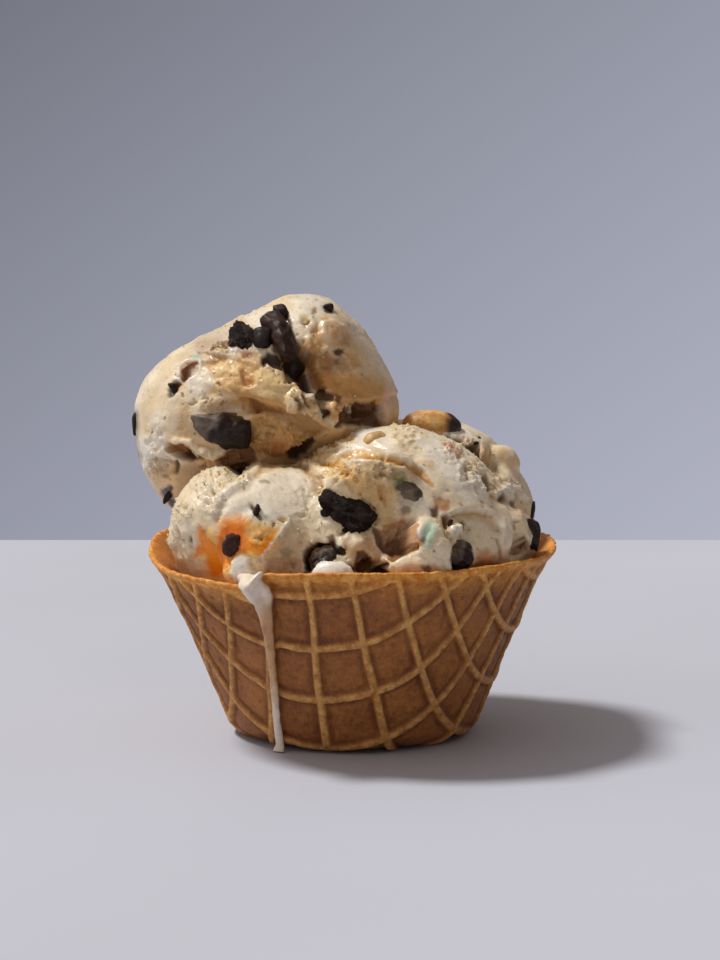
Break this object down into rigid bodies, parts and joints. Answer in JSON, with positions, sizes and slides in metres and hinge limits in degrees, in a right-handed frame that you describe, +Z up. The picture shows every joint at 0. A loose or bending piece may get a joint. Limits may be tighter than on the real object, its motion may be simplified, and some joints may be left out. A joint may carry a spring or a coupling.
{
  "type": "ice cream waffle bowl",
  "caption": "Round waffle bowl with a flat foot, filled with cream-coloured scoops of ice cream that hold chocolate, cookie and nut pieces, with a melted run down its front.",
  "frame": {"origin": "centre of the bowl's foot, on the rib crossing that it rests on", "axes": "+Z up, -Y towards the side that the melted run comes down, +X to the right of that side"},
  "size_m": [0.1057, 0.1019, 0.1088],
  "materials": {
    "waffle": "baked golden-brown waffle with paler ribs, dry and satin",
    "ice_cream": "cream-coloured ice cream, wet and smooth where it melts, crumbly where it is torn",
    "melted_cream": "thin melted ice cream, wet and slightly see-through",
    "chocolate": "dark chocolate, partly veiled by melted cream",
    "cookie": "crumbly dark cookie, moist",
    "nut": "roasted nut, oily satin"
  },
  "bodies": {
    "root": {"waffle_bowl": "waffle", "scoop_front": "ice_cream", "scoop_top": "ice_cream", "scoop_back": "ice_cream", "melt_run": "melted_cream", "cookie_front": "cookie", "cookie_top": "cookie", "cookie_rear": "cookie", "chocolate_slab": "chocolate", "chocolate_chunk": "chocolate", "chocolate_lower": "chocolate", "chocolate_right": "chocolate", "chocolate_rim": "chocolate", "chocolate_back": "chocolate", "candy_dark": "chocolate", "candy_orange": "chocolate", "nut_back": "nut", "peanut_coated": "nut"}
  },
  "joints": []
}
